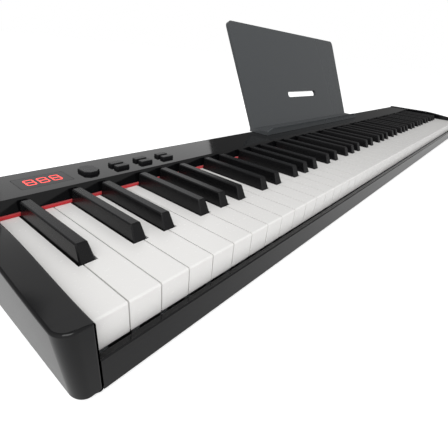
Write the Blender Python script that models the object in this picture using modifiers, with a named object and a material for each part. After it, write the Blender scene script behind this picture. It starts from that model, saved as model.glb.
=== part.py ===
"""Slim 88-key digital piano with a lift-off music stand.

Units are metres: +X is the treble end, +Y the back, +Z up, and the origin lies on the
ground under the middle of the piano. Every size below is read in the keyboard's own frame:
X from the bass edge of key A0, Y back from the white key fronts, Z up from the white key tops.
"""
import math

import bmesh
import bpy
from mathutils import Matrix, Vector

MM = 0.001
SEAT = 0.3 * MM  # gap left between two pieces that touch

# Keyboard
NATURALS = "CDEFGAB"
SHARPENED = "CDFGA"
FIRST_OCTAVE = 1
LAST_OCTAVE = 7
WHITE_COUNT = 52
WHITE_PITCH = 23.5 * MM
KEY_GAP = 1.0 * MM
WHITE_LENGTH = 144 * MM
WHITE_HEIGHT = 22 * MM
WHITE_NOSE = 1.2 * MM
NOTCH_FRONT = 48 * MM
SHARP_SLOT = 13.7 * MM
SHARP_WIDTH = 11.2 * MM
SHARP_TOP_WIDTH = 8.4 * MM
SHARP_RISE = 12.3 * MM
SHARP_SLOPE = 5.4 * MM
SHARP_EDGE = 0.9 * MM
SHARP_FRONT = NOTCH_FRONT + 0.8 * MM
FELT_FRONT = 138 * MM
SHARP_REAR = FELT_FRONT - 0.5 * MM
KEY_WALL = 2 * MM
KEYBOARD_LENGTH = WHITE_COUNT * WHITE_PITCH

# Key arms, the combs' cross webs and the pivot
PIVOT_Y = 182 * MM
PIVOT_Z = -9 * MM
ARM_THICKNESS = 4 * MM
ARM_TAIL = 3.5 * MM  # length behind the pivot
ARM_CHAMFER = 1 * MM
WHITE_ARM_WIDTH = 9 * MM
SHARP_ARM_WIDTH = 7 * MM
WEB_THICKNESS = 2.8 * MM
WEB_DEPTH = 5 * MM
WEB_CLEARANCE = 1.2 * MM
WHITE_WEB_SETBACK = 13 * MM  # from the pivot to the front of a white comb's web
SHARP_WEB_SETBACK = 24 * MM
SHARP_WEB_CLEARANCE = 2.2 * MM

# Case
CASE_WALL = 2.5 * MM
CASE_REAR = 197 * MM
CASE_BOTTOM = -43 * MM
PANEL_TOP = 14 * MM
PANEL_FRONT = 142.4 * MM
APRON_FOOT_Y = 139.5 * MM
APRON_FOOT_Z = 3.4 * MM
PANEL_REAR_RADIUS = 3.5 * MM
PANEL_SEAM = -8 * MM  # height where the panel's rear skirt meets the bottom case
CASE_CORNER = 3 * MM
RAIL_FRONT = -8 * MM
RAIL_THICKNESS = 4.6 * MM
RAIL_TOP = -20.4 * MM
RAIL_FLANGE = 2.5 * MM
RAIL_FLANGE_REAR = 10.5 * MM
RAIL_CHAMFER = 0.8 * MM
FOOT_DIAMETER = 18 * MM
FOOT_HEIGHT = 5 * MM
FOOT_INSET = 91 * MM  # from the keyboard's ends
FOOT_FRONT_Y = 20 * MM
FOOT_REAR_Y = 176 * MM

# End blocks
BLOCK_WIDTH = 18.7 * MM
BLOCK_FOOT_WIDTH = 14.7 * MM
BLOCK_FRONT = RAIL_FRONT - 0.1 * MM
BLOCK_CORNER = 10 * MM
BLOCK_REAR_CORNER = 5 * MM
BLOCK_FRONT_HEIGHT = 7.5 * MM
BLOCK_REAR_HEIGHT = 15.5 * MM
BLOCK_RISE_END = 95 * MM
BLOCK_EDGE = 1.6 * MM

# Key frame
FRAME_WALL = 2 * MM
FRAME_FRONT = RAIL_FLANGE_REAR + SEAT
FRAME_RISER = WHITE_LENGTH + 3 * MM  # clears the white keys' rear walls as they swing
FRAME_DECK_TOP = -18 * MM
FRAME_DECK_REAR = 188 * MM
FULCRUM_RADIUS = 2 * MM
TAB_DEPTH = 2 * MM
TAB_TOP = -14 * MM
WHITE_TAB_WIDTH = 6 * MM
WHITE_TAB_FRONT = 12 * MM
SHARP_TAB_WIDTH = 4 * MM
SHARP_TAB_FRONT = 62 * MM
HINGE_BAR_THICKNESS = 3.5 * MM
HINGE_BAR_FRONT = PIVOT_Y - 4.5 * MM
HINGE_LEG_WIDTH = 3 * MM
HINGE_LEG_DEPTH = 3 * MM

# Felt, boards and speakers
FELT_DEPTH = 3.2 * MM
FELT_TOP = 2.6 * MM
BOARD_THICKNESS = 1.6 * MM
CONTACT_BOARD_FRONT = 96 * MM
CONTACT_BOARD_DEPTH = 30 * MM
CONTACT_STRIP_FRONT = 104 * MM
CONTACT_STRIP_DEPTH = 12 * MM
CONTACT_STRIP_TOP = -27.5 * MM
CONTACT_BOARD_INSET = 3 * MM
MAIN_BOARD_LENGTH = 150 * MM
MAIN_BOARD_FRONT = FRAME_RISER + 6 * MM
MAIN_BOARD_REAR = 190 * MM
MAIN_BOARD_TOP = -31 * MM
BOARD_POST = 5 * MM
JACK_OFFSETS = (-52 * MM, -34 * MM, -16 * MM)
JACK_BODY = 11 * MM
JACK_NOSE_DIAMETER = 8 * MM
JACK_BORE = 3.5 * MM
JACK_BORE_DEPTH = 8 * MM
USB_OFFSET = 20 * MM
USB_WIDTH = 9 * MM
USB_HEIGHT = 3.4 * MM
SPEAKER_LENGTH = 90 * MM
SPEAKER_MARGIN = 2.75 * MM  # to the riser and to the rear wall
SPEAKER_SPACING = 660 * MM
SPEAKER_STEPS = ((1.0, 2.0 * MM), (0.86, 0.0), (0.55, 7.0 * MM), (0.42, 0.0), (0.42, 5.5 * MM))
GRILLE_SLOT = 2.5 * MM
GRILLE_PITCH = 6.5 * MM
GRILLE_COUNT = 11
GRILLE_LENGTH = 26 * MM

# Controls on the panel
DISPLAY_X = 53.3 * MM
DISPLAY_Y = 167 * MM
LENS_WIDTH = 43.8 * MM
LENS_DEPTH = 25.3 * MM
LENS_THICKNESS = 1.2 * MM
LENS_CORNER = 1.5 * MM
WINDOW_WIDTH = 38 * MM
WINDOW_DEPTH = 17 * MM
DIGITS_WIDTH = 34 * MM
DIGITS_DEPTH = 14 * MM
DISPLAY_BOARD_TOP = 6.1 * MM
PLAY_X = 95 * MM
PLAY_Y = 165 * MM
PLAY_WIDTH = 16 * MM
PLAY_DEPTH = 20.5 * MM
PLAY_CHAMFER = 4.5 * MM
SMALL_FIRST_X = 127 * MM
SMALL_PITCH = 29.8 * MM
SMALL_COLUMNS = 3
SMALL_ROWS = (158 * MM, 168.3 * MM)
SMALL_WIDTH = 15 * MM
SMALL_DEPTH = 7 * MM
SMALL_CHAMFER = 1 * MM
BUTTON_RISE = 3 * MM
BUTTON_CLEARANCE = 0.35 * MM
BUTTON_FLANGE = 1.3 * MM
BUTTON_FLANGE_THICKNESS = 1.2 * MM
BUTTON_EDGE = 0.6 * MM

# Music stand
STAND_WIDTH = 396 * MM
STAND_CENTRE_X = 601 * MM
STAND_HEIGHT = 170 * MM
STAND_THICKNESS = 5 * MM
STAND_LEAN = math.radians(26)
STAND_FOOT_Y = 193.2 * MM
STAND_CORNER = 9 * MM
STAND_ROOT = 3 * MM
LEDGE_FRONT = 163 * MM
LEDGE_REAR = 198 * MM
LEDGE_THICKNESS = 5.7 * MM
LIP_THICKNESS = 3 * MM
LIP_HEIGHT = 4.5 * MM  # above the ledge
LIP_END = 17 * MM
PILL_LENGTH = 117 * MM
PILL_HEIGHT = 10.7 * MM
PILL_CENTRE = 52 * MM  # up the board
TAB_SPACING = 240 * MM
STAND_TAB_WIDTH = 30 * MM
STAND_TAB_THICKNESS = 3.2 * MM
STAND_TAB_LENGTH = 12 * MM
STAND_TAB_Y = 180 * MM

ARC_STEPS = 5

# Places that follow from the sizes above
CASE_LEFT = -SEAT
CASE_RIGHT = KEYBOARD_LENGTH + SEAT
FLOOR_TOP = CASE_BOTTOM + CASE_WALL
FRAME_BOTTOM = FLOOR_TOP + SEAT
SPEAKER_WIDTH = CASE_REAR - CASE_WALL - FRAME_RISER - FRAME_WALL - 2 * SPEAKER_MARGIN
SPEAKER_Y = CASE_REAR - CASE_WALL - SPEAKER_MARGIN - SPEAKER_WIDTH / 2
PANEL_UNDERSIDE = PANEL_TOP - CASE_WALL
LEDGE_BOTTOM = PANEL_TOP + SEAT
LEDGE_TOP = LEDGE_BOTTOM + LEDGE_THICKNESS
ARM_BOTTOM = PIVOT_Z - ARM_THICKNESS / 2
ARM_TOP = PIVOT_Z + ARM_THICKNESS / 2
ARM_REAR = PIVOT_Y + ARM_TAIL
FULCRUM_TOP = ARM_BOTTOM - SEAT
HINGE_BAR_BOTTOM = ARM_TOP + 0.5 * MM
STAND_REAR = (
    STAND_FOOT_Y + STAND_HEIGHT * math.sin(STAND_LEAN) + STAND_THICKNESS * math.cos(STAND_LEAN)
)
GROUND = CASE_BOTTOM - FOOT_HEIGHT
KEYBOARD_ORIGIN = Vector((-KEYBOARD_LENGTH / 2, -(BLOCK_FRONT + STAND_REAR) / 2, -GROUND))

# Maps an outline's own plane, with its thickness as the third axis, into the keyboard's frame
PLANES = {
    "plan": Matrix.Identity(4),
    "side": Matrix(((0, 0, 1, 0), (1, 0, 0, 0), (0, 1, 0, 0), (0, 0, 0, 1))),
    "front": Matrix(((1, 0, 0, 0), (0, 0, 1, 0), (0, 1, 0, 0), (0, 0, 0, 1))),
}


def clear_scene():
    """Remove every object, so that the script can run twice in the same file."""
    for old in list(bpy.data.objects):
        bpy.data.objects.remove(old, do_unlink=True)


def new_collection(name):
    """Add a collection to the scene."""
    collection = bpy.data.collections.new(name)
    bpy.context.scene.collection.children.link(collection)
    return collection


def new_material(name, colour, roughness, metallic=0.0):
    """Make a plain Principled material."""
    material = bpy.data.materials.new(name)
    material.use_nodes = True
    shader = material.node_tree.nodes["Principled BSDF"]
    shader.inputs["Base Color"].default_value = (*colour, 1.0)
    shader.inputs["Roughness"].default_value = roughness
    shader.inputs["Metallic"].default_value = metallic
    return material


clear_scene()
PIANO = new_collection("digital_piano")
CUTTERS = new_collection("cutters")
IVORY = new_material("ivory_plastic", (0.80, 0.79, 0.76), 0.25)
EBONY = new_material("ebony_plastic", (0.02, 0.02, 0.022), 0.40)
GLOSS_BLACK = new_material("gloss_black", (0.012, 0.012, 0.014), 0.08)
MATTE_BLACK = new_material("matte_black", (0.03, 0.03, 0.032), 0.60)
STEEL = new_material("zinc_steel", (0.55, 0.56, 0.57), 0.35, 1.0)
RED_FELT = new_material("red_felt", (0.40, 0.02, 0.03), 0.95)
BOARD_GREEN = new_material("board_green", (0.03, 0.18, 0.08), 0.45)
SMOKED = new_material("smoked_lens", (0.015, 0.015, 0.018), 0.06)
GREY_PLASTIC = new_material("button_grey", (0.10, 0.10, 0.105), 0.45)
RUBBER = new_material("rubber", (0.02, 0.02, 0.02), 0.85)


def tidy(mesh):
    """Weld an outline's caps, merge its flat faces and point them all outwards."""
    bm = bmesh.new()
    bm.from_mesh(mesh)
    bmesh.ops.remove_doubles(bm, verts=bm.verts, dist=0.002 * MM)
    bmesh.ops.dissolve_limit(bm, angle_limit=math.radians(0.3), verts=bm.verts, edges=bm.edges)
    bmesh.ops.recalc_face_normals(bm, faces=bm.faces)
    bm.to_mesh(mesh)
    bm.free()
    return mesh


def outline_mesh(loops, low, high, plane, closed):
    """Extrude flat outlines, given as lists of points, between two distances from their plane."""
    curve = bpy.data.curves.new("outline", "CURVE")
    curve.dimensions = "2D"
    curve.fill_mode = "BOTH" if closed else "NONE"
    curve.extrude = (high - low) / 2
    for loop in loops:
        spline = curve.splines.new("POLY")
        spline.points.add(len(loop) - 1)
        for point, (u, v) in zip(spline.points, loop):
            point.co = (u, v, 0.0, 1.0)
        spline.use_cyclic_u = closed
    holder = bpy.data.objects.new("outline", curve)
    CUTTERS.objects.link(holder)
    depsgraph = bpy.context.evaluated_depsgraph_get()
    mesh = bpy.data.meshes.new_from_object(holder.evaluated_get(depsgraph))
    bpy.data.objects.remove(holder)
    bpy.data.curves.remove(curve)
    mesh.transform(PLANES[plane] @ Matrix.Translation((0, 0, (low + high) / 2)))
    return tidy(mesh)


def prism(loops, low, high, plane):
    """A solid of one or more closed outlines; an outline inside another is a hole."""
    return outline_mesh(loops, low, high, plane, closed=True)


def ribbon(points, low, high, plane):
    """An open surface swept from one open outline."""
    return outline_mesh([points], low, high, plane, closed=False)


def box(low, high):
    """A box between two opposite corners."""
    bm = bmesh.new()
    size = Vector(high) - Vector(low)
    middle = (Vector(high) + Vector(low)) / 2
    bmesh.ops.create_cube(bm, size=1.0, matrix=Matrix.Translation(middle) @ Matrix.Diagonal((*size, 1.0)))
    return mesh_from(bm, "box")


def cylinder(radius, start, end, axis, segments=24):
    """A cylinder of a radius between two points that differ only along the named axis."""
    bm = bmesh.new()
    middle = (Vector(start) + Vector(end)) / 2
    turn = {"X": Matrix.Rotation(math.pi / 2, 4, "Y"), "Y": Matrix.Rotation(math.pi / 2, 4, "X")}
    place = Matrix.Translation(middle) @ turn.get(axis, Matrix.Identity(4))
    bmesh.ops.create_cone(
        bm, cap_ends=True, segments=segments, radius1=radius, radius2=radius,
        depth=(Vector(end) - Vector(start)).length, matrix=place,
    )
    return mesh_from(bm, "cylinder")


def mesh_from(bm, name):
    """Turn a bmesh into mesh data."""
    mesh = bpy.data.meshes.new(name)
    bm.to_mesh(mesh)
    bm.free()
    return mesh


def joined(meshes):
    """Put several meshes that don't touch into one."""
    bm = bmesh.new()
    for mesh in meshes:
        bm.from_mesh(mesh)
    return mesh_from(bm, "joined")


def arc(centre, radius, start, end, steps=ARC_STEPS):
    """Points of an arc, with its angles in degrees."""
    turns = [math.radians(start + (end - start) * i / steps) for i in range(steps + 1)]
    return [(centre[0] + radius * math.cos(t), centre[1] + radius * math.sin(t)) for t in turns]


def rounded_rectangle(left, right, front, rear, radius, steps=ARC_STEPS):
    """Outline of a rectangle with four round corners."""
    return (
        arc((left + radius, front + radius), radius, 180, 270, steps)
        + arc((right - radius, front + radius), radius, 270, 360, steps)
        + arc((right - radius, rear - radius), radius, 0, 90, steps)
        + arc((left + radius, rear - radius), radius, 90, 180, steps)
    )


def add_part(name, mesh, material, pivot=(0, 0, 0)):
    """Add one sub-part. Its mesh is in the keyboard's frame, and its origin lies at the pivot."""
    mesh.name = name
    mesh.transform(Matrix.Translation(-Vector(pivot)))
    mesh.materials.clear()
    mesh.materials.append(material)
    part = bpy.data.objects.new(name, mesh)
    part.location = KEYBOARD_ORIGIN + Vector(pivot)
    PIANO.objects.link(part)
    return part


def combine(part, mesh, operation):
    """Cut a mesh out of a part, or fuse it on, with an exact Boolean."""
    operand = bpy.data.objects.new(f"{part.name}_{operation.lower()}", mesh)
    operand.location = KEYBOARD_ORIGIN
    operand.hide_render = True
    operand.display_type = "WIRE"
    CUTTERS.objects.link(operand)
    modifier = part.modifiers.new(operation.title(), "BOOLEAN")
    modifier.operation = operation
    modifier.solver = "EXACT"
    modifier.object = operand


def shade(part, degrees=35):
    """Shade a part smooth, except across its sharper edges."""
    part.data.shade_smooth()
    part.data.set_sharp_from_angle(angle=math.radians(degrees))


def octave_left(octave):
    """Left edge of an octave's C. A0 and B0 lie before octave 1."""
    return WHITE_PITCH * (2 + 7 * (octave - FIRST_OCTAVE))


def sharp_slots(octave):
    """Left edge of each sharp's slot. The white tails beside the slots share what is left evenly."""
    slots = {}
    for group in ("CDE", "FGAB"):
        left = octave_left(octave) + NATURALS.index(group[0]) * WHITE_PITCH
        tail = (len(group) * WHITE_PITCH - (len(group) - 1) * SHARP_SLOT) / len(group)
        for index, name in enumerate(group[:-1]):
            slots[name] = left + tail + index * (tail + SHARP_SLOT)
    return slots


def white_edges(octave, name):
    """Head and tail edges of a white key: head left, head right, tail left, tail right."""
    slots = sharp_slots(octave)
    index = NATURALS.index(name)
    left = octave_left(octave) + index * WHITE_PITCH + KEY_GAP / 2
    right = left + WHITE_PITCH - KEY_GAP
    lowest_key = octave < FIRST_OCTAVE and name == "A"
    highest_key = octave > LAST_OCTAVE
    before = NATURALS[index - 1] if index > 0 else ""
    tail_left = left
    tail_right = right
    if before in slots and not lowest_key:
        tail_left = slots[before] + SHARP_SLOT
    if name in slots and not highest_key:
        tail_right = slots[name]
    return left, right, tail_left, tail_right


def white_outline(octave, name):
    """Plan outline of a white key, notched for the sharps beside it."""
    left, right, tail_left, tail_right = white_edges(octave, name)
    points = [(left, 0.0), (right, 0.0)]
    if tail_right < right:
        points += [(right, NOTCH_FRONT), (tail_right, NOTCH_FRONT)]
    points += [(tail_right, WHITE_LENGTH), (tail_left, WHITE_LENGTH)]
    if tail_left > left:
        points += [(tail_left, NOTCH_FRONT), (left, NOTCH_FRONT)]
    return points


def hollow_below(bm, wall, depth):
    """Sink a pocket into every face that looks down, and leave a wall round it."""
    floor = [face for face in bm.faces if face.normal.z < -0.9]
    bmesh.ops.inset_region(bm, faces=floor, thickness=wall, use_even_offset=True)
    grown = bmesh.ops.extrude_face_region(bm, geom=floor)
    roof = [item for item in grown["geom"] if isinstance(item, bmesh.types.BMVert)]
    bmesh.ops.translate(bm, vec=(0, 0, depth), verts=roof)
    left_over = [face for face in floor if face.is_valid]
    bmesh.ops.delete(bm, geom=left_over, context="FACES_ONLY")
    bmesh.ops.recalc_face_normals(bm, faces=bm.faces)


def white_shells(keys):
    """Hollow white key shells, open below, with rounded front edges."""
    bm = bmesh.new()
    bm.from_mesh(prism([white_outline(*key) for key in keys], -WHITE_HEIGHT, 0.0, "plan"))
    bm.normal_update()
    small = 0.01 * MM
    nose = [edge for edge in bm.edges if all(abs(v.co.y) < small and abs(v.co.z) < small for v in edge.verts)]
    bmesh.ops.bevel(bm, geom=nose, offset=WHITE_NOSE, segments=2, profile=0.5, affect="EDGES")
    bm.normal_update()
    hollow_below(bm, KEY_WALL, WHITE_HEIGHT - KEY_WALL)
    return mesh_from(bm, "white_shells")


def sharp_shells(keys):
    """Hollow black key shells: a straight foot with a tapered, sloped and edge-broken cap."""
    bm = bmesh.new()
    for octave, name in keys:
        middle = sharp_slots(octave)[name] + SHARP_SLOT / 2
        low = (middle - SHARP_WIDTH / 2, SHARP_FRONT, -WHITE_HEIGHT)
        high = (middle + SHARP_WIDTH / 2, SHARP_REAR, 0.0)
        bm.from_mesh(box(low, high))
        bm.normal_update()
        foot_top = [f for f in bm.faces if f.normal.z > 0.9 and abs(f.calc_center_median().z) < SEAT]
        grown = bmesh.ops.extrude_face_region(bm, geom=foot_top)
        bmesh.ops.delete(bm, geom=[f for f in foot_top if f.is_valid], context="FACES_ONLY")
        cap = [item for item in grown["geom"] if isinstance(item, bmesh.types.BMVert)]
        for vert in cap:
            front = vert.co.y < (SHARP_FRONT + SHARP_REAR) / 2
            vert.co.x = middle + (vert.co.x - middle) * SHARP_TOP_WIDTH / SHARP_WIDTH
            vert.co.y += SHARP_SLOPE if front else 0.0
            vert.co.z = SHARP_RISE
        edges = {edge for vert in cap for edge in vert.link_edges}
        rear = {e for e in edges if all(v.co.y > SHARP_REAR - SEAT for v in e.verts)}
        bmesh.ops.bevel(bm, geom=list(edges - rear), offset=SHARP_EDGE, segments=1, affect="EDGES")
    bm.normal_update()
    hollow_below(bm, KEY_WALL, WHITE_HEIGHT - KEY_WALL)
    return mesh_from(bm, "sharp_shells")


def arm_spans(keys, sharp):
    """Left and right side of each key's arm, in the middle of its tail."""
    spans = []
    for octave, name in keys:
        if sharp:
            middle = sharp_slots(octave)[name] + SHARP_SLOT / 2
            half = SHARP_ARM_WIDTH / 2
        else:
            _, _, tail_left, tail_right = white_edges(octave, name)
            middle = (tail_left + tail_right) / 2
            half = WHITE_ARM_WIDTH / 2
        spans.append((middle - half, middle + half))
    return spans


def arm_outline(start):
    """Side outline of an arm, from inside its key's rear wall to behind the pivot."""
    return [
        (start, ARM_BOTTOM), (ARM_REAR - ARM_CHAMFER, ARM_BOTTOM), (ARM_REAR, ARM_BOTTOM + ARM_CHAMFER),
        (ARM_REAR, ARM_TOP - ARM_CHAMFER), (ARM_REAR - ARM_CHAMFER, ARM_TOP), (start, ARM_TOP),
    ]


def arms(keys, sharp):
    """All the arms of one key or one comb."""
    outline = arm_outline((SHARP_REAR if sharp else WHITE_LENGTH) - KEY_WALL / 2)
    return joined([prism([outline], left, right, "side") for left, right in arm_spans(keys, sharp)])


def add_single_key(octave, name, sharp):
    """One key that moves by itself."""
    key = [(octave, name)]
    title = f"key_{name}{'s' if sharp else ''}{octave}"
    shell = sharp_shells(key) if sharp else white_shells(key)
    left, right = arm_spans(key, sharp)[0]
    pivot = ((left + right) / 2, PIVOT_Y, PIVOT_Z)
    part = add_part(title, shell, EBONY if sharp else IVORY, pivot)
    combine(part, arms(key, sharp), "UNION")


def add_comb(title, keys, sharp, web_setback, web_low):
    """Keys of one octave moulded on a common web that passes above or below the other combs' arms."""
    web_front = PIVOT_Y - web_setback
    spans = arm_spans(keys, sharp)
    left = spans[0][0]
    right = spans[-1][1]
    shell = sharp_shells(keys) if sharp else white_shells(keys)
    part = add_part(title, shell, EBONY if sharp else IVORY, ((left + right) / 2, PIVOT_Y, PIVOT_Z))
    combine(part, arms(keys, sharp), "UNION")
    inset = 0.5 * MM
    web_middle = web_low + WEB_THICKNESS / 2
    knuckles = []
    for start, end in spans:
        low = (start + inset, web_front, min(web_middle, PIVOT_Z))
        high = (end - inset, web_front + WEB_DEPTH, max(web_middle, PIVOT_Z))
        knuckles.append(box(low, high))
    combine(part, joined(knuckles), "UNION")
    low = (left + inset / 2, web_front + inset, web_low)
    high = (right - inset / 2, web_front + WEB_DEPTH - inset, web_low + WEB_THICKNESS)
    combine(part, box(low, high), "UNION")


def add_keyboard():
    """The two lowest white keys, their sharp and octave 1 move singly; the rest are octave combs."""
    for name in "AB":
        add_single_key(FIRST_OCTAVE - 1, name, sharp=False)
    add_single_key(FIRST_OCTAVE - 1, "A", sharp=True)
    for name in NATURALS:
        add_single_key(FIRST_OCTAVE, name, sharp=False)
    for name in SHARPENED:
        add_single_key(FIRST_OCTAVE, name, sharp=True)
    above = ARM_TOP + WEB_CLEARANCE + 0.2 * MM
    below = ARM_BOTTOM - WEB_CLEARANCE - WEB_THICKNESS
    sharp_below = ARM_BOTTOM - SHARP_WEB_CLEARANCE - WEB_THICKNESS
    for octave in range(FIRST_OCTAVE + 1, LAST_OCTAVE + 1):
        outer = [(octave, name) for name in "CEGB"]
        inner = [(octave, name) for name in "DFA"]
        sharps = [(octave, name) for name in SHARPENED]
        outer_title = f"octave_{octave}_comb_CEGB"
        if octave == LAST_OCTAVE:
            outer.append((octave + 1, "C"))
            outer_title += "C"
        add_comb(outer_title, outer, False, WHITE_WEB_SETBACK, above)
        add_comb(f"octave_{octave}_comb_DFA", inner, False, WHITE_WEB_SETBACK, below)
        add_comb(f"octave_{octave}_comb_sharps", sharps, True, SHARP_WEB_SETBACK, sharp_below)


def add_key_frame():
    """Pressed steel frame: key bed, riser, rear deck with the rounded fulcrum, and guide tabs."""
    floor_top = FRAME_BOTTOM + FRAME_WALL
    deck_bottom = FRAME_DECK_TOP - FRAME_WALL
    riser_rear = FRAME_RISER + FRAME_WALL
    ridge_centre = (PIVOT_Y, FULCRUM_TOP - FULCRUM_RADIUS)
    outline = [
        (FRAME_FRONT, FRAME_BOTTOM), (riser_rear, FRAME_BOTTOM), (riser_rear, deck_bottom),
        (FRAME_DECK_REAR, deck_bottom), (FRAME_DECK_REAR, FRAME_DECK_TOP),
        (PIVOT_Y + FULCRUM_RADIUS, FRAME_DECK_TOP),
        *arc(ridge_centre, FULCRUM_RADIUS, 0, 180, 6),
        (PIVOT_Y - FULCRUM_RADIUS, FRAME_DECK_TOP), (FRAME_RISER, FRAME_DECK_TOP),
        (FRAME_RISER, floor_top), (FRAME_FRONT, floor_top),
    ]
    frame = add_part("key_frame", prism([outline], CASE_LEFT, CASE_RIGHT, "side"), STEEL)
    tabs = []
    for index in range(WHITE_COUNT):
        middle = (index + 0.5) * WHITE_PITCH
        tabs.append(guide_tab(middle, WHITE_TAB_WIDTH, WHITE_TAB_FRONT))
    for octave in range(FIRST_OCTAVE - 1, LAST_OCTAVE + 1):
        for name, left in sharp_slots(octave).items():
            if left > 0:
                tabs.append(guide_tab(left + SHARP_SLOT / 2, SHARP_TAB_WIDTH, SHARP_TAB_FRONT))
    combine(frame, joined(tabs), "UNION")


def guide_tab(middle, width, front):
    """An upright tab that stands inside a key's shell and guides it sideways."""
    low = (middle - width / 2, front, FRAME_BOTTOM + FRAME_WALL / 2)
    high = (middle + width / 2, front + TAB_DEPTH, TAB_TOP)
    return box(low, high)


def add_hinge_bar():
    """Retaining bar over the arms, with a leg down to the deck between every two octaves."""
    rear = FRAME_DECK_REAR - 0.4 * MM
    top = HINGE_BAR_BOTTOM + HINGE_BAR_THICKNESS
    bar = box((CASE_LEFT, HINGE_BAR_FRONT, HINGE_BAR_BOTTOM), (CASE_RIGHT, rear, top))
    part = add_part("hinge_bar", bar, STEEL)
    legs = []
    for octave in range(FIRST_OCTAVE, LAST_OCTAVE + 2):
        middle = octave_left(octave)
        low = (middle - HINGE_LEG_WIDTH / 2, rear - HINGE_LEG_DEPTH, FRAME_DECK_TOP + SEAT)
        high = (middle + HINGE_LEG_WIDTH / 2, rear - SEAT, HINGE_BAR_BOTTOM + HINGE_BAR_THICKNESS / 2)
        legs.append(box(low, high))
    combine(part, joined(legs), "UNION")


def add_felt_strip():
    """Red felt that closes the line between the keys and the fallboard."""
    low = (CASE_LEFT, FELT_FRONT, SEAT)
    high = (CASE_RIGHT, FELT_FRONT + FELT_DEPTH, FELT_TOP)
    add_part("key_felt_strip", box(low, high), RED_FELT)


def add_contact_board():
    """Key contact board with its rubber contact strip, on the key bed."""
    bottom = FRAME_BOTTOM + FRAME_WALL + SEAT
    top = bottom + BOARD_THICKNESS
    strip_rear = CONTACT_STRIP_FRONT + CONTACT_STRIP_DEPTH
    taper = 1.5 * MM
    outline = [
        (CONTACT_BOARD_FRONT, bottom), (CONTACT_BOARD_FRONT + CONTACT_BOARD_DEPTH, bottom),
        (CONTACT_BOARD_FRONT + CONTACT_BOARD_DEPTH, top), (strip_rear, top),
        (strip_rear - taper, CONTACT_STRIP_TOP), (CONTACT_STRIP_FRONT + taper, CONTACT_STRIP_TOP),
        (CONTACT_STRIP_FRONT, top), (CONTACT_BOARD_FRONT, top),
    ]
    low = CONTACT_BOARD_INSET
    high = KEYBOARD_LENGTH - CONTACT_BOARD_INSET
    add_part("contact_board", prism([outline], low, high, "side"), BOARD_GREEN)


def facing(mesh, direction):
    """Turn an open surface over if its largest face looks away from a direction."""
    bm = bmesh.new()
    bm.from_mesh(mesh)
    bm.normal_update()
    largest = max(bm.faces, key=lambda face: face.calc_area())
    if largest.normal.dot(Vector(direction)) < 0:
        bmesh.ops.reverse_faces(bm, faces=bm.faces)
    bm.to_mesh(mesh)
    bm.free()
    return mesh


def thicken(part, thickness):
    """Give an open surface its wall, on the inner side."""
    solidify = part.modifiers.new("Wall", "SOLIDIFY")
    solidify.thickness = thickness
    solidify.offset = -1.0
    solidify.use_even_offset = True


def speaker_centres():
    """Where the two speakers sit along the piano."""
    middle = KEYBOARD_LENGTH / 2
    return {"left": middle - SPEAKER_SPACING / 2, "right": middle + SPEAKER_SPACING / 2}


def add_bottom_case():
    """Tray under everything: floor with two slotted grilles, and a rear wall with jack holes."""
    centre = (CASE_REAR - CASE_CORNER, CASE_BOTTOM + CASE_CORNER)
    points = [
        (RAIL_FRONT + RAIL_THICKNESS + SEAT, CASE_BOTTOM),
        *arc(centre, CASE_CORNER, 270, 360, 4),
        (CASE_REAR, PANEL_SEAM),
    ]
    surface = facing(ribbon(points, CASE_LEFT, CASE_RIGHT, "side"), (0, 0, -1))
    case = add_part("bottom_case", surface, GLOSS_BLACK)
    thicken(case, CASE_WALL)
    holes = []
    for centre_x in speaker_centres().values():
        for index in range(GRILLE_COUNT):
            x = centre_x + (index - (GRILLE_COUNT - 1) / 2) * GRILLE_PITCH
            low = (x - GRILLE_SLOT / 2, SPEAKER_Y - GRILLE_LENGTH / 2, CASE_BOTTOM - CASE_WALL)
            high = (x + GRILLE_SLOT / 2, SPEAKER_Y + GRILLE_LENGTH / 2, FLOOR_TOP + CASE_WALL)
            holes.append(box(low, high))
    middle = KEYBOARD_LENGTH / 2
    wall_front = CASE_REAR - 2 * CASE_WALL
    wall_rear = CASE_REAR + CASE_WALL
    for offset in JACK_OFFSETS:
        start = (middle + offset, wall_front, jack_height())
        end = (middle + offset, wall_rear, jack_height())
        holes.append(cylinder(JACK_NOSE_DIAMETER / 2 + SEAT, start, end, "Y", 16))
    half = USB_WIDTH / 2 + SEAT
    low = (middle + USB_OFFSET - half, wall_front, MAIN_BOARD_TOP - BOARD_THICKNESS)
    high = (middle + USB_OFFSET + half, wall_rear, MAIN_BOARD_TOP + USB_HEIGHT + SEAT)
    holes.append(box(low, high))
    combine(case, joined(holes), "DIFFERENCE")


def jack_height():
    """Centre height of the round jacks above the main board."""
    return MAIN_BOARD_TOP + JACK_BODY / 2 - BOARD_THICKNESS


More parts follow.
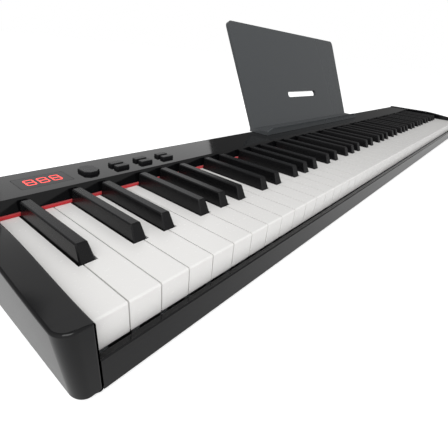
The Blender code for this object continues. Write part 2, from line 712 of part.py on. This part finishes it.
def add_main_board():
    """Main board on four posts, with three round jacks and a small data port at the rear."""
    middle = KEYBOARD_LENGTH / 2
    half = MAIN_BOARD_LENGTH / 2
    bottom = MAIN_BOARD_TOP - BOARD_THICKNESS
    nose_rear = CASE_REAR - 0.5 * MM
    board = box((middle - half, MAIN_BOARD_FRONT, bottom), (middle + half, MAIN_BOARD_REAR, MAIN_BOARD_TOP))
    part = add_part("main_board", board, BOARD_GREEN)
    bodies = []
    noses = []
    bores = []
    body_rear = CASE_REAR - CASE_WALL - SEAT
    for offset in JACK_OFFSETS:
        x = middle + offset
        low = (x - JACK_BODY / 2, body_rear - 12 * MM, jack_height() - JACK_BODY / 2)
        high = (x + JACK_BODY / 2, body_rear, jack_height() + JACK_BODY / 2)
        bodies.append(box(low, high))
        start = (x, body_rear - 6 * MM, jack_height())
        noses.append(cylinder(JACK_NOSE_DIAMETER / 2, start, (x, nose_rear, jack_height()), "Y", 16))
        start = (x, nose_rear - JACK_BORE_DEPTH, jack_height())
        bores.append(cylinder(JACK_BORE / 2, start, (x, CASE_REAR, jack_height()), "Y", 12))
    port_low = (middle + USB_OFFSET - USB_WIDTH / 2, body_rear - 7 * MM, bottom + SEAT)
    port_high = (middle + USB_OFFSET + USB_WIDTH / 2, nose_rear, MAIN_BOARD_TOP + USB_HEIGHT)
    bodies.append(box(port_low, port_high))
    posts = []
    for x in (middle - half + BOARD_POST, middle + half - BOARD_POST):
        for y in (MAIN_BOARD_FRONT + BOARD_POST, MAIN_BOARD_REAR - BOARD_POST):
            low = (x - BOARD_POST / 2, y - BOARD_POST / 2, FRAME_BOTTOM)
            posts.append(box(low, (x + BOARD_POST / 2, y + BOARD_POST / 2, bottom + SEAT)))
    combine(part, joined(posts + bodies), "UNION")
    combine(part, joined(noses), "UNION")
    combine(part, joined(bores), "DIFFERENCE")


def add_speakers():
    """Two oval speakers that fire down through the grilles."""
    for side, centre_x in speaker_centres().items():
        bm = bmesh.new()
        stretch = Matrix.Diagonal((SPEAKER_LENGTH / 2, SPEAKER_WIDTH / 2, 1.0, 1.0))
        place = Matrix.Translation((centre_x, SPEAKER_Y, FRAME_BOTTOM)) @ stretch
        bmesh.ops.create_circle(bm, cap_ends=True, segments=24, radius=1.0, matrix=place)
        face = bm.faces[:][0]
        for scale, rise in SPEAKER_STEPS:
            grown = bmesh.ops.extrude_face_region(bm, geom=[face])
            verts = [item for item in grown["geom"] if isinstance(item, bmesh.types.BMVert)]
            faces = [item for item in grown["geom"] if isinstance(item, bmesh.types.BMFace)]
            if face.is_valid and len(bm.faces) > 26:
                bmesh.ops.delete(bm, geom=[face], context="FACES_ONLY")
            face = faces[0]
            middle = Vector((centre_x, SPEAKER_Y, 0.0))
            current = max((v.co - middle).x for v in verts) / (SPEAKER_LENGTH / 2)
            for vert in verts:
                vert.co.x = centre_x + (vert.co.x - centre_x) * scale / current
                vert.co.y = SPEAKER_Y + (vert.co.y - SPEAKER_Y) * scale / current
                vert.co.z += rise
        bmesh.ops.remove_doubles(bm, verts=bm.verts, dist=0.002 * MM)
        bmesh.ops.recalc_face_normals(bm, faces=bm.faces)
        shade(add_part(f"speaker_{side}", mesh_from(bm, "speaker"), MATTE_BLACK))


def add_front_rail():
    """Key slip in front of the keys, with a flange on the floor of the case."""
    plate_rear = RAIL_FRONT + RAIL_THICKNESS
    outline = [
        (RAIL_FRONT, CASE_BOTTOM), (plate_rear, CASE_BOTTOM), (plate_rear, FRAME_BOTTOM),
        (RAIL_FLANGE_REAR, FRAME_BOTTOM), (RAIL_FLANGE_REAR, FRAME_BOTTOM + RAIL_FLANGE),
        (plate_rear, FRAME_BOTTOM + RAIL_FLANGE), (plate_rear, RAIL_TOP),
        (RAIL_FRONT + RAIL_CHAMFER, RAIL_TOP), (RAIL_FRONT, RAIL_TOP - RAIL_CHAMFER),
    ]
    add_part("front_rail", prism([outline], CASE_LEFT, CASE_RIGHT, "side"), GLOSS_BLACK)


def small_button_centres():
    """Names and centres of the six small buttons."""
    centres = {}
    for column in range(SMALL_COLUMNS):
        for row, y in zip(("front", "rear"), SMALL_ROWS):
            centres[f"button_{row}_{column + 1}"] = (SMALL_FIRST_X + column * SMALL_PITCH, y)
    return centres


def chamfered(centre, width, depth, chamfer):
    """Outline of a rectangle with its four corners cut off."""
    x, y = centre
    w = width / 2
    d = depth / 2
    c = chamfer
    return [
        (x - w + c, y - d), (x + w - c, y - d), (x + w, y - d + c), (x + w, y + d - c),
        (x + w - c, y + d), (x - w + c, y + d), (x - w, y + d - c), (x - w, y - d + c),
    ]


def add_control_panel():
    """Top cover: leaning apron, flat panel and rear skirt, cut for the display and the controls."""
    rear_centre = (CASE_REAR - PANEL_REAR_RADIUS, PANEL_TOP - PANEL_REAR_RADIUS)
    points = [
        (APRON_FOOT_Y, APRON_FOOT_Z), (PANEL_FRONT, PANEL_TOP),
        *arc(rear_centre, PANEL_REAR_RADIUS, 90, 0),
        (CASE_REAR, PANEL_SEAM + SEAT),
    ]
    surface = facing(ribbon(points, CASE_LEFT, CASE_RIGHT, "side"), (0, 0, 1))
    panel = add_part("control_panel", surface, GLOSS_BLACK)
    thicken(panel, CASE_WALL)
    low = PANEL_UNDERSIDE - CASE_WALL
    high = PANEL_TOP + CASE_WALL
    extra = 2 * BUTTON_CLEARANCE
    through = [chamfered((PLAY_X, PLAY_Y), PLAY_WIDTH + extra, PLAY_DEPTH + extra, PLAY_CHAMFER)]
    for centre in small_button_centres().values():
        through.append(chamfered(centre, SMALL_WIDTH + extra, SMALL_DEPTH + extra, SMALL_CHAMFER))
    through.append(chamfered((DISPLAY_X, DISPLAY_Y), WINDOW_WIDTH, WINDOW_DEPTH, SMALL_CHAMFER))
    for x in stand_tab_centres():
        wide = STAND_TAB_WIDTH + extra
        through.append(chamfered((x, STAND_TAB_Y), wide, STAND_TAB_THICKNESS + extra, SEAT))
    combine(panel, prism(through, low, high, "plan"), "DIFFERENCE")
    recess = rounded_rectangle(*lens_edges(SEAT), LENS_CORNER, 3)
    recess_floor = PANEL_TOP - LENS_THICKNESS - SEAT
    combine(panel, prism([recess], recess_floor, high, "plan"), "DIFFERENCE")


def lens_edges(extra=0.0):
    """Left, right, front and rear edges of the display lens, with an allowance round it."""
    half_width = LENS_WIDTH / 2 + extra
    half_depth = LENS_DEPTH / 2 + extra
    return DISPLAY_X - half_width, DISPLAY_X + half_width, DISPLAY_Y - half_depth, DISPLAY_Y + half_depth


def add_display():
    """Smoked lens flush with the panel, and the digit board that hangs under it."""
    lens = prism([rounded_rectangle(*lens_edges(), LENS_CORNER, 3)], PANEL_TOP - LENS_THICKNESS, PANEL_TOP, "plan")
    add_part("display_lens", lens, SMOKED)
    left, right, front, rear = lens_edges()
    bottom = DISPLAY_BOARD_TOP - BOARD_THICKNESS
    board = add_part("display_board", box((left, front, bottom), (right, rear, DISPLAY_BOARD_TOP)), BOARD_GREEN)
    digits_top = PANEL_TOP - LENS_THICKNESS - 3 * SEAT
    low = (DISPLAY_X - DIGITS_WIDTH / 2, DISPLAY_Y - DIGITS_DEPTH / 2, bottom + SEAT)
    high = (DISPLAY_X + DIGITS_WIDTH / 2, DISPLAY_Y + DIGITS_DEPTH / 2, digits_top)
    pieces = [box(low, high)]
    half = BOARD_POST / 4
    for x in (left + BOARD_POST / 2, right - BOARD_POST / 2):
        for y in (front + BOARD_POST / 2, rear - BOARD_POST / 2):
            low = (x - half, y - half, bottom + SEAT)
            pieces.append(box(low, (x + half, y + half, PANEL_UNDERSIDE - SEAT)))
    combine(board, joined(pieces), "UNION")


def add_button(name, centre, width, depth, chamfer):
    """A push button: cap with broken edges, and a flange that stops it under the panel."""
    flange_top = PANEL_UNDERSIDE - SEAT
    flange_bottom = flange_top - BUTTON_FLANGE_THICKNESS
    cap_top = PANEL_TOP + BUTTON_RISE
    cap = prism([chamfered(centre, width, depth, chamfer)], flange_bottom + SEAT, cap_top, "plan")
    bm = bmesh.new()
    bm.from_mesh(cap)
    rim = [edge for edge in bm.edges if all(abs(vert.co.z - cap_top) < SEAT / 2 for vert in edge.verts)]
    bmesh.ops.bevel(bm, geom=rim, offset=BUTTON_EDGE, segments=1, affect="EDGES")
    part = add_part(name, mesh_from(bm, name), GREY_PLASTIC, (*centre, PANEL_TOP))
    x, y = centre
    low = (x - width / 2 - BUTTON_FLANGE, y - depth / 2 - BUTTON_FLANGE, flange_bottom)
    combine(part, box(low, (x + width / 2 + BUTTON_FLANGE, y + depth / 2 + BUTTON_FLANGE, flange_top)), "UNION")


def add_buttons():
    """The large start button and the six small ones."""
    add_button("play_button", (PLAY_X, PLAY_Y), PLAY_WIDTH, PLAY_DEPTH, PLAY_CHAMFER)
    for name, centre in small_button_centres().items():
        add_button(name, centre, SMALL_WIDTH, SMALL_DEPTH, SMALL_CHAMFER)


def block_height(y):
    """Height of an end block's top, which sweeps up from the front and then runs level."""
    t = min(max((y - BLOCK_FRONT) / (BLOCK_RISE_END - BLOCK_FRONT), 0.0), 1.0)
    return BLOCK_FRONT_HEIGHT + (BLOCK_REAR_HEIGHT - BLOCK_FRONT_HEIGHT) * t * t * (3 - 2 * t)


def block_stations():
    """Depth and outer width of an end block, from front to rear, with both outer corners round."""
    front = arc((BLOCK_WIDTH - BLOCK_CORNER, BLOCK_FRONT + BLOCK_CORNER), BLOCK_CORNER, 270, 360)
    straight = [
        (BLOCK_WIDTH, BLOCK_FRONT + BLOCK_CORNER + i * (BLOCK_RISE_END - BLOCK_FRONT - BLOCK_CORNER) / 8)
        for i in range(1, 9)
    ]
    rear_centre = (BLOCK_WIDTH - BLOCK_REAR_CORNER, CASE_REAR - BLOCK_REAR_CORNER)
    return front + straight + arc(rear_centre, BLOCK_REAR_CORNER, 0, 90, 4)


def add_end_block(name, inner_face, outward):
    """Cheek block: a strip of stations with a swept top, drawn down to a narrower foot."""
    stations = block_stations()
    bm = bmesh.new()
    bmesh.ops.create_grid(bm, x_segments=1, y_segments=len(stations) - 1, size=0.5)
    for vert in bm.verts:
        width, y = stations[round((vert.co.y + 0.5) * (len(stations) - 1))]
        outer = vert.co.x > 0
        vert.co = (width if outer else 0.0, y, block_height(y))
    grown = bmesh.ops.extrude_face_region(bm, geom=bm.faces[:])
    for vert in [item for item in grown["geom"] if isinstance(item, bmesh.types.BMVert)]:
        vert.co.z = CASE_BOTTOM
        vert.co.x *= BLOCK_FOOT_WIDTH / BLOCK_WIDTH
    bm.transform(Matrix.Translation((inner_face, 0, 0)) @ Matrix.Diagonal((outward, 1.0, 1.0, 1.0)))
    bmesh.ops.recalc_face_normals(bm, faces=bm.faces)
    block = add_part(name, mesh_from(bm, name), GLOSS_BLACK)
    edge = block.modifiers.new("Edge", "BEVEL")
    edge.width = BLOCK_EDGE
    edge.segments = 2
    edge.limit_method = "ANGLE"
    edge.angle_limit = math.radians(50)


def stand_tab_centres():
    """Where the stand's two tabs drop into the panel."""
    return STAND_CENTRE_X - TAB_SPACING / 2, STAND_CENTRE_X + TAB_SPACING / 2


def add_music_stand():
    """One moulding: leaning board with a long pill slot, ledge, lip with swept ends and two tabs."""
    half = STAND_WIDTH / 2
    board_outline = [
        (-half, -STAND_ROOT), (half, -STAND_ROOT),
        *arc((half - STAND_CORNER, STAND_HEIGHT - STAND_CORNER), STAND_CORNER, 0, 90),
        *arc((STAND_CORNER - half, STAND_HEIGHT - STAND_CORNER), STAND_CORNER, 90, 180),
    ]
    radius = PILL_HEIGHT / 2
    reach = PILL_LENGTH / 2 - radius
    pill = arc((reach, PILL_CENTRE), radius, -90, 90, 8) + arc((-reach, PILL_CENTRE), radius, 90, 270, 8)
    board = prism([board_outline, pill], 0.0, STAND_THICKNESS, "front")
    foot = Matrix.Translation((STAND_CENTRE_X, STAND_FOOT_Y, LEDGE_TOP))
    board.transform(foot @ Matrix.Rotation(-STAND_LEAN, 4, "X"))
    left = STAND_CENTRE_X - half
    right = STAND_CENTRE_X + half
    stand = add_part("music_stand", board, GLOSS_BLACK, (STAND_CENTRE_X, STAND_TAB_Y, PANEL_TOP))
    ledge_rear_chamfer = 1.5 * MM
    ledge = [
        (LEDGE_FRONT + LIP_THICKNESS / 2, LEDGE_BOTTOM), (LEDGE_REAR, LEDGE_BOTTOM),
        (LEDGE_REAR, LEDGE_TOP - ledge_rear_chamfer), (LEDGE_REAR - ledge_rear_chamfer, LEDGE_TOP),
        (LEDGE_FRONT + LIP_THICKNESS / 2, LEDGE_TOP),
    ]
    combine(stand, prism([ledge], left, right, "side"), "UNION")
    lip_top = LEDGE_TOP + LIP_HEIGHT
    lip = [
        (left, LEDGE_BOTTOM), (right, LEDGE_BOTTOM), (right, LEDGE_TOP - LIP_HEIGHT / 4),
        (right - LIP_END, lip_top), (left + LIP_END, lip_top), (left, LEDGE_TOP - LIP_HEIGHT / 4),
    ]
    combine(stand, prism([lip], LEDGE_FRONT, LEDGE_FRONT + LIP_THICKNESS, "front"), "UNION")
    tabs = []
    for x in stand_tab_centres():
        low = (x - STAND_TAB_WIDTH / 2, STAND_TAB_Y - STAND_TAB_THICKNESS / 2, LEDGE_BOTTOM - STAND_TAB_LENGTH)
        high = (x + STAND_TAB_WIDTH / 2, STAND_TAB_Y + STAND_TAB_THICKNESS / 2, LEDGE_BOTTOM + LEDGE_THICKNESS / 2)
        tabs.append(box(low, high))
    combine(stand, joined(tabs), "UNION")


def add_feet():
    """Four rubber feet under the case."""
    for side, x in (("left", FOOT_INSET), ("right", KEYBOARD_LENGTH - FOOT_INSET)):
        for row, y in (("front", FOOT_FRONT_Y), ("rear", FOOT_REAR_Y)):
            foot = cylinder(FOOT_DIAMETER / 2, (x, y, GROUND), (x, y, CASE_BOTTOM - SEAT), "Z")
            shade(add_part(f"foot_{row}_{side}", foot, RUBBER))


add_keyboard()
add_key_frame()
add_hinge_bar()
add_felt_strip()
add_contact_board()
add_bottom_case()
add_main_board()
add_speakers()
add_front_rail()
add_control_panel()
add_display()
add_buttons()
add_end_block("left_end_block", -2 * SEAT, -1.0)
add_end_block("right_end_block", KEYBOARD_LENGTH + 2 * SEAT, 1.0)
add_music_stand()
add_feet()
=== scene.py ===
# %% [markdown]
# # A slim digital piano in gloss black
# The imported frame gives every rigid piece. This scene rounds its edges, gives each surface its
# procedural finish, lights the red display and sets the photograph's camera.

# %% Load the frame
import math

import bmesh
import bpy
from mathutils import Matrix, Vector


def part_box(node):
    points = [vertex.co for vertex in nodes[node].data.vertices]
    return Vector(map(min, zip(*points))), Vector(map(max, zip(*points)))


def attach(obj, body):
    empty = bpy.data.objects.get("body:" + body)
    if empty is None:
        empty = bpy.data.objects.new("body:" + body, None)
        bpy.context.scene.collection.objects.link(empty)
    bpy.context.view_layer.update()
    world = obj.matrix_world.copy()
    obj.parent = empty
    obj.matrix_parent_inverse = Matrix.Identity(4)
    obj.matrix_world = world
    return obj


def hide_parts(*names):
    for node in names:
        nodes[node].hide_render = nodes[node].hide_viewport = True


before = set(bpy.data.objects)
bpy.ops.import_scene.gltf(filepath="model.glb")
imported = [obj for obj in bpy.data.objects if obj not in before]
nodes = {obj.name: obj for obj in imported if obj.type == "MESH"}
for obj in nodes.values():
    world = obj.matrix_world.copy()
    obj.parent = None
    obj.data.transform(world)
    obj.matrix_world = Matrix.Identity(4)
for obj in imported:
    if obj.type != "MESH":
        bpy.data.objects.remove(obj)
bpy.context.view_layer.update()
MM = 0.001

# %% [markdown]
# ## Materials
# Node groups aren't needed for a finish that a single noise can drive. The helper adds a fine
# noise in Object coordinates, so the finish stays with its piece when it moves.

# %% Material helpers
def finish_material(name, colour, roughness, spread=0.04, grain=400.0, bump=0.0, **inputs):
    """A Principled material whose roughness varies a little, with an optional fine bump."""
    material = bpy.data.materials.new(name)
    material.use_nodes = True
    tree = material.node_tree
    shader = tree.nodes["Principled BSDF"]
    shader.inputs["Base Color"].default_value = (*colour, 1.0)
    for key, value in inputs.items():
        shader.inputs[key.replace("_", " ")].default_value = value
    place = tree.nodes.new("ShaderNodeTexCoord")
    noise = tree.nodes.new("ShaderNodeTexNoise")
    noise.inputs["Scale"].default_value = grain
    noise.inputs["Detail"].default_value = 3.0
    spread_map = tree.nodes.new("ShaderNodeMapRange")
    spread_map.inputs["To Min"].default_value = max(roughness - spread, 0.0)
    spread_map.inputs["To Max"].default_value = roughness + spread
    tree.links.new(place.outputs["Object"], noise.inputs["Vector"])
    tree.links.new(noise.outputs["Fac"], spread_map.inputs["Value"])
    tree.links.new(spread_map.outputs["Result"], shader.inputs["Roughness"])
    if bump:
        relief = tree.nodes.new("ShaderNodeBump")
        relief.inputs["Strength"].default_value = bump
        relief.inputs["Distance"].default_value = 0.1 * MM
        tree.links.new(noise.outputs["Fac"], relief.inputs["Height"])
        tree.links.new(relief.outputs["Normal"], shader.inputs["Normal"])
    return material


ivory = finish_material("Ivory plastic", (0.86, 0.85, 0.835), 0.26, Specular_IOR_Level=0.4)
ebony = finish_material("Ebony plastic", (0.005, 0.005, 0.0055), 0.26, 0.05, 1500.0, 0.1,
                        Specular_IOR_Level=0.25)
gloss = finish_material("Gloss black", (0.003, 0.003, 0.0035), 0.07, 0.02, 120.0,
                        Specular_IOR_Level=0.3)
stand_black = finish_material("Stand black", (0.055, 0.06, 0.064), 0.16, 0.03, 300.0,
                              Specular_IOR_Level=0.6)
felt = finish_material("Red felt", (0.62, 0.02, 0.03), 0.95, 0.03, 2500.0, 1.0, Sheen_Weight=0.4)
steel = finish_material("Zinc steel", (0.55, 0.56, 0.57), 0.35, Metallic=1.0)
board = finish_material("Circuit board", (0.02, 0.13, 0.06), 0.4)
lens = finish_material("Smoked lens", (0.008, 0.008, 0.009), 0.05, 0.01, 120.0,
                       Specular_IOR_Level=0.2)
button = finish_material("Button satin", (0.008, 0.008, 0.009), 0.28, 0.05, 1500.0, 0.1,
                         Specular_IOR_Level=0.3)
matt = finish_material("Matt black", (0.02, 0.02, 0.021), 0.7, 0.05, 1200.0, 0.4)
rubber = finish_material("Rubber", (0.015, 0.015, 0.015), 0.85, 0.05, 900.0, 0.5)
glow = finish_material("Lit segment", (0.1, 0.0, 0.0), 0.5, Specular_IOR_Level=0.0,
                       Emission_Color=(1.0, 0.10, 0.09, 1.0), Emission_Strength=2.6)
print("materials", len(bpy.data.materials))

# %% [markdown]
# ## Dressing the frame
# Each CAD node gets a material, and most get a bevel. A small bevel on every key and cover makes
# the bright line that a real moulded edge catches.

# %% Finish and soften every node
def edge_bevel(node, width, segments=3, angle=0.6):
    """Round a node's sharp edges without moving its faces."""
    bevel = node.modifiers.new("Soft edge", "BEVEL")
    bevel.width = width
    bevel.segments = segments
    bevel.limit_method = "ANGLE"
    bevel.angle_limit = angle
    bevel.harden_normals = True


def dress(node, material, width):
    """Give one node its material and its edge."""
    node.data.materials.clear()
    node.data.materials.append(material)
    node.data.shade_smooth()
    node.data.set_sharp_from_angle(angle=SMOOTH_ANGLE)
    if width:
        edge_bevel(node, width)


SMOOTH_ANGLE = 0.55
KEY_EDGE = 0.35 * MM
COVER_EDGE = 0.4 * MM
STAND_EDGE = 0.5 * MM
LENS_EDGE = 0.15 * MM
BUTTON_EDGE = 0.3 * MM
FOOT_EDGE = 0.5 * MM
COVERS = ("bottom_case", "control_panel", "front_rail")
for name, node in nodes.items():
    sharp = "sharps" in name or (name.startswith("key_") and "s" in name[4:6])
    if name == "key_felt_strip":
        dress(node, felt, 0)
    elif name in ("key_frame", "hinge_bar"):
        dress(node, steel, 0)
    elif sharp:
        dress(node, ebony, KEY_EDGE)
    elif name.startswith(("key_", "octave_")):
        dress(node, ivory, KEY_EDGE)
    elif name in COVERS:
        dress(node, gloss, COVER_EDGE)
    elif name == "music_stand":
        dress(node, stand_black, STAND_EDGE)
    elif name.endswith("end_block"):
        dress(node, gloss, 0)
    elif name in ("contact_board", "main_board", "display_board"):
        dress(node, board, 0)
    elif name == "display_lens":
        dress(node, lens, LENS_EDGE)
    elif "button" in name:
        dress(node, button, BUTTON_EDGE)
    elif name.startswith("foot_"):
        dress(node, rubber, FOOT_EDGE)
    else:
        dress(node, matt, 0)
print("dressed", len(nodes))

# %% [markdown]
# ## End blocks
# Gloss black shows every facet, so the two end blocks are made again with fine stations: a strip
# with the same round corners and swept top, drawn down to the same narrow foot.

# %% Fine end blocks
BLOCK_CORNER = 10.0 * MM
BLOCK_REAR_CORNER = 5.0 * MM
BLOCK_FRONT_DROP = 8.0 * MM
BLOCK_RISE = 103.1 * MM
BLOCK_FOOT_WIDTH = 14.7 * MM
BLOCK_TOP_WIDTH = 18.7 * MM
BLOCK_FOOT_SHARE = BLOCK_FOOT_WIDTH / BLOCK_TOP_WIDTH
BLOCK_ROUND = 1.8 * MM
BLOCK_STATIONS = 40
SHARP_ANGLE = 0.8


def corner(centre, radius, start, end, steps=16):
    """Width and depth along a quarter circle."""
    turns = [math.radians(start + (end - start) * i / steps) for i in range(steps + 1)]
    return [(centre[0] + radius * math.cos(t), centre[1] + radius * math.sin(t)) for t in turns]


def fine_end_block(node_name, outward):
    """A smooth end block inside the box of its CAD node."""
    low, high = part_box(node_name)
    width = high[0] - low[0]
    depth = high[1] - low[1]
    stations = corner((width - BLOCK_CORNER, BLOCK_CORNER), BLOCK_CORNER, 270, 360)
    step = (depth - BLOCK_CORNER - BLOCK_REAR_CORNER) / BLOCK_STATIONS
    stations += [(width, BLOCK_CORNER + step * i) for i in range(1, BLOCK_STATIONS)]
    rear_centre = (width - BLOCK_REAR_CORNER, depth - BLOCK_REAR_CORNER)
    stations += corner(rear_centre, BLOCK_REAR_CORNER, 0, 90)
    bm = bmesh.new()
    bmesh.ops.create_grid(bm, x_segments=1, y_segments=len(stations) - 1, size=0.5)
    for vert in bm.verts:
        across, along = stations[round((vert.co.y + 0.5) * (len(stations) - 1))]
        t = min(along / BLOCK_RISE, 1.0)
        drop = BLOCK_FRONT_DROP * (1.0 - t * t * (3.0 - 2.0 * t))
        vert.co = (across if vert.co.x > 0 else 0.0, along, high[2] - drop)
    grown = bmesh.ops.extrude_face_region(bm, geom=bm.faces[:])
    for vert in [item for item in grown["geom"] if isinstance(item, bmesh.types.BMVert)]:
        vert.co.z = low[2]
        vert.co.x *= BLOCK_FOOT_SHARE
    inner = low[0] if outward > 0 else high[0]
    facing = Matrix.Diagonal((outward, 1.0, 1.0, 1.0))
    bm.transform(Matrix.Translation((inner, low[1], 0)) @ facing)
    bmesh.ops.recalc_face_normals(bm, faces=bm.faces)
    sharp_edges = [edge for edge in bm.edges if edge.calc_face_angle(0.0) > SHARP_ANGLE]
    bmesh.ops.bevel(bm, geom=sharp_edges, offset=BLOCK_ROUND, segments=4, profile=0.5,
                    affect="EDGES", material=-1)
    mesh = bpy.data.meshes.new(node_name + "_fine")
    bm.to_mesh(mesh)
    bm.free()
    mesh.materials.append(gloss)
    mesh.shade_smooth()
    block = bpy.data.objects.new(node_name + "_fine", mesh)
    bpy.context.scene.collection.objects.link(block)
    weighted = block.modifiers.new("Even shading", "WEIGHTED_NORMAL")
    weighted.weight = 100
    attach(block, "case")
    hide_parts(node_name)


fine_end_block("left_end_block", -1.0)
fine_end_block("right_end_block", 1.0)
print("end blocks replaced")

# %% [markdown]
# ## The lit display
# Three seven-segment digits lie in the top of the smoked lens. Each segment is a bar with pointed
# ends, made once for a place and a direction.

# %% Display digits
DIGIT_WIDTH = 7.0 * MM
DIGIT_HEIGHT = 12.0 * MM
DIGIT_PITCH = 11.0 * MM
BAR = 1.0 * MM
BAR_GAP = 0.25 * MM
POINT_SHARE = 0.15
FILM = 0.04 * MM
lens_low, lens_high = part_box("display_lens")
lens_middle = (Vector(lens_low) + Vector(lens_high)) / 2


def add_bar(bm, centre, length, upright):
    """One segment: a flat box with its two ends drawn to a point."""
    flat = Matrix.Diagonal((length - BAR, BAR, FILM, 1.0))
    made = bmesh.ops.create_cube(bm, size=1.0, matrix=flat)
    faces = {face for vert in made["verts"] for face in vert.link_faces}
    ends = [face for face in faces if abs(face.normal.x) > 0.9]
    for end in bmesh.ops.extrude_discrete_faces(bm, faces=ends)["faces"]:
        outward = 1.0 if end.calc_center_median().x > 0 else -1.0
        for vert in end.verts:
            vert.co.x += outward * (BAR / 2 - BAR_GAP)
            vert.co.y *= POINT_SHARE
            made["verts"].append(vert)
    turn = Matrix.Rotation(math.pi / 2 if upright else 0.0, 4, "Z")
    place = Matrix.Translation(centre) @ turn
    bmesh.ops.transform(bm, matrix=place, verts=list(set(made["verts"])))


bm = bmesh.new()
for digit in (-1, 0, 1):
    x = digit * DIGIT_PITCH
    for level in (-1, 0, 1):
        add_bar(bm, (x, level * DIGIT_HEIGHT / 2, 0), DIGIT_WIDTH, False)
    for side in (-1, 1):
        for level in (-1, 1):
            centre = (x + side * DIGIT_WIDTH / 2, level * DIGIT_HEIGHT / 4, 0)
            add_bar(bm, centre, DIGIT_HEIGHT / 2, True)
bmesh.ops.translate(bm, verts=bm.verts, vec=(lens_middle.x, lens_middle.y, lens_high[2] + FILM))
mesh = bpy.data.meshes.new("display_digits")
bm.to_mesh(mesh)
bm.free()
mesh.materials.append(glow)
digits = bpy.data.objects.new("display_digits", mesh)
bpy.context.scene.collection.objects.link(digits)
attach(digits, "case")
print("digits", len(mesh.polygons))

# %% [markdown]
# ## Studio
# A pale floor, a white surround and two large soft lights. Gloss black shows what it reflects, so
# the surround is bright toward the bass end and the front, and dim toward the back.

# %% Floor, world and lights
FLOOR_REACH = 40.0
FLOOR_LIFT = 0.62
BACKDROP_STRENGTH = 1.0
BRIGHT_SIDE = (-0.72, -0.66, 0.2)
BRIGHT_STRENGTH = 1.0
DIM_STRENGTH = 0.03
floor_mesh = bpy.data.meshes.new("floor")
bm = bmesh.new()
bmesh.ops.create_grid(bm, x_segments=1, y_segments=1, size=FLOOR_REACH)
bm.to_mesh(floor_mesh)
bm.free()
floor_finish = finish_material("Pale floor", (0.82, 0.82, 0.82), 0.8,
                               Emission_Color=(1.0, 1.0, 1.0, 1.0))
tree = floor_finish.node_tree
paths = tree.nodes.new("ShaderNodeLightPath")
lift = tree.nodes.new("ShaderNodeMath")
lift.operation = "MULTIPLY"
lift.inputs[1].default_value = FLOOR_LIFT
floor_shader = tree.nodes["Principled BSDF"]
tree.links.new(paths.outputs["Is Camera Ray"], lift.inputs[0])
tree.links.new(lift.outputs[0], floor_shader.inputs["Emission Strength"])
floor_mesh.materials.append(floor_finish)
floor = bpy.data.objects.new("floor", floor_mesh)
bpy.context.scene.collection.objects.link(floor)

world = bpy.data.worlds.new("Studio")
world.use_nodes = True
tree = world.node_tree
background = tree.nodes["Background"]
background.inputs["Color"].default_value = (1.0, 1.0, 1.0, 1.0)
camera_path = tree.nodes.new("ShaderNodeLightPath")
strength = tree.nodes.new("ShaderNodeMapRange")
strength.inputs["To Max"].default_value = BACKDROP_STRENGTH
direction = tree.nodes.new("ShaderNodeTexCoord")
toward = tree.nodes.new("ShaderNodeVectorMath")
toward.operation = "DOT_PRODUCT"
toward.inputs[1].default_value = BRIGHT_SIDE
room = tree.nodes.new("ShaderNodeMapRange")
room.inputs["From Min"].default_value = -1.0
room.inputs["To Min"].default_value = DIM_STRENGTH
room.inputs["To Max"].default_value = BRIGHT_STRENGTH
tree.links.new(direction.outputs["Generated"], toward.inputs[0])
tree.links.new(toward.outputs["Value"], room.inputs["Value"])
tree.links.new(room.outputs["Result"], strength.inputs["To Min"])
tree.links.new(camera_path.outputs["Is Camera Ray"], strength.inputs["Value"])
tree.links.new(strength.outputs["Result"], background.inputs["Strength"])
bpy.context.scene.world = world


def add_light(name, place, target, size, power):
    """A square area light that looks at a point."""
    data = bpy.data.lights.new(name, "AREA")
    data.size = size
    data.energy = power
    light = bpy.data.objects.new(name, data)
    light.location = place
    light.rotation_euler = (Vector(target) - Vector(place)).to_track_quat("-Z", "Y").to_euler()
    bpy.context.scene.collection.objects.link(light)


add_light("Key light", place=(-1.2, -1.0, 1.6), target=(0, 0, 0), size=1.2, power=17.0)
add_light("Rear light", place=(0.6, 1.6, 1.2), target=(0, 0, 0.05), size=1.6, power=6.0)
print("staged the floor, the surround and two lights")

# %% [markdown]
# ## Camera
# The camera was solved from the pitch of the keys: it stands close to the bass end and looks along
# the keyboard, which gives the strong perspective.

# %% Camera
PHOTO_SIZE = 448
FOCAL_LENGTH = 26.15
SENSOR_WIDTH = 36.0
CLIP_START = 0.01
CAMERA_PLACE = Vector((-0.66697, -0.25469, 0.17513))
RIGHT = Vector((0.6462, -0.7579, 0.0896)).normalized()
AHEAD = Vector((0.7002, 0.5420, -0.4647)).normalized()
UP = RIGHT.cross(AHEAD).normalized()
data = bpy.data.cameras.new("Camera")
data.lens = FOCAL_LENGTH
data.sensor_width = SENSOR_WIDTH
data.clip_start = CLIP_START
camera = bpy.data.objects.new("Camera", data)
turn = Matrix((RIGHT, UP, -AHEAD)).transposed().to_4x4()
camera.matrix_world = Matrix.Translation(CAMERA_PLACE) @ turn
bpy.context.scene.collection.objects.link(camera)
scene = bpy.context.scene
scene.camera = camera
scene.render.resolution_x = PHOTO_SIZE
scene.render.resolution_y = PHOTO_SIZE
scene.view_settings.view_transform = "Standard"
print("camera", camera.location, "lens", data.lens)
